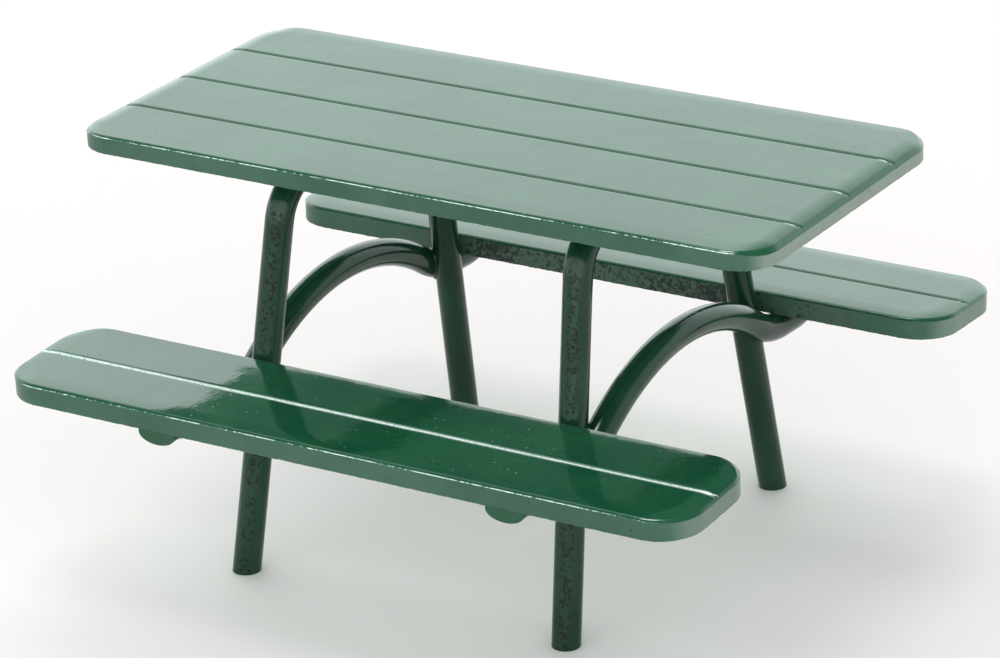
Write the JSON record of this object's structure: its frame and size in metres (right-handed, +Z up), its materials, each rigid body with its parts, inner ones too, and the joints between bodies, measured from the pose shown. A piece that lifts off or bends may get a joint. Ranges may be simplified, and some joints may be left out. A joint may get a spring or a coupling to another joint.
{
  "type": "picnic table",
  "caption": "Fixed picnic table with a board top, attached board seats, splayed bent-tube leg frames and arched seat bearers, painted green.",
  "frame": {"origin": "on the floor, under the middle of the table top", "axes": "+Z up, X along the boards, Y across them from the front seat to the rear seat"},
  "size_m": [1.36, 1.1648, 0.75],
  "materials": {
    "boards": "gloss green enamel over smooth boards",
    "frame": "gloss dark green enamel on steel tube",
    "plugs": "moulded dark green end plugs",
    "screws": "zinc plated"
  },
  "bodies": {
    "root": {"front_seat_inner_board": "boards", "front_seat_left_plate": "frame", "front_seat_left_screw_1": "screws", "front_seat_left_screw_2": "screws", "front_seat_left_screw_3": "screws", "front_seat_left_screw_4": "screws", "front_seat_outer_board": "boards", "front_seat_right_plate": "frame", "front_seat_right_screw_1": "screws", "front_seat_right_screw_2": "screws", "front_seat_right_screw_3": "screws", "front_seat_right_screw_4": "screws", "left_front_bearer_cap": "plugs", "left_front_foot_plug": "plugs", "left_leg_frame": "frame", "left_rear_bearer_cap": "plugs", "left_rear_foot_plug": "plugs", "left_seat_bearer": "frame", "left_top_plate": "frame", "left_top_screw_1": "screws", "left_top_screw_2": "screws", "left_top_screw_3": "screws", "left_top_screw_4": "screws", "left_top_screw_5": "screws", "left_top_screw_6": "screws", "left_top_screw_7": "screws", "left_top_screw_8": "screws", "rear_seat_inner_board": "boards", "rear_seat_left_plate": "frame", "rear_seat_left_screw_1": "screws", "rear_seat_left_screw_2": "screws", "rear_seat_left_screw_3": "screws", "rear_seat_left_screw_4": "screws", "rear_seat_outer_board": "boards", "rear_seat_right_plate": "frame", "rear_seat_right_screw_1": "screws", "rear_seat_right_screw_2": "screws", "rear_seat_right_screw_3": "screws", "rear_seat_right_screw_4": "screws", "right_front_bearer_cap": "plugs", "right_front_foot_plug": "plugs", "right_leg_frame": "frame", "right_rear_bearer_cap": "plugs", "right_rear_foot_plug": "plugs", "right_seat_bearer": "frame", "right_top_plate": "frame", "right_top_screw_1": "screws", "right_top_screw_2": "screws", "right_top_screw_3": "screws", "right_top_screw_4": "screws", "right_top_screw_5": "screws", "right_top_screw_6": "screws", "right_top_screw_7": "screws", "right_top_screw_8": "screws", "top_board_1": "boards", "top_board_2": "boards", "top_board_3": "boards", "top_board_4": "boards"}
  },
  "joints": []
}
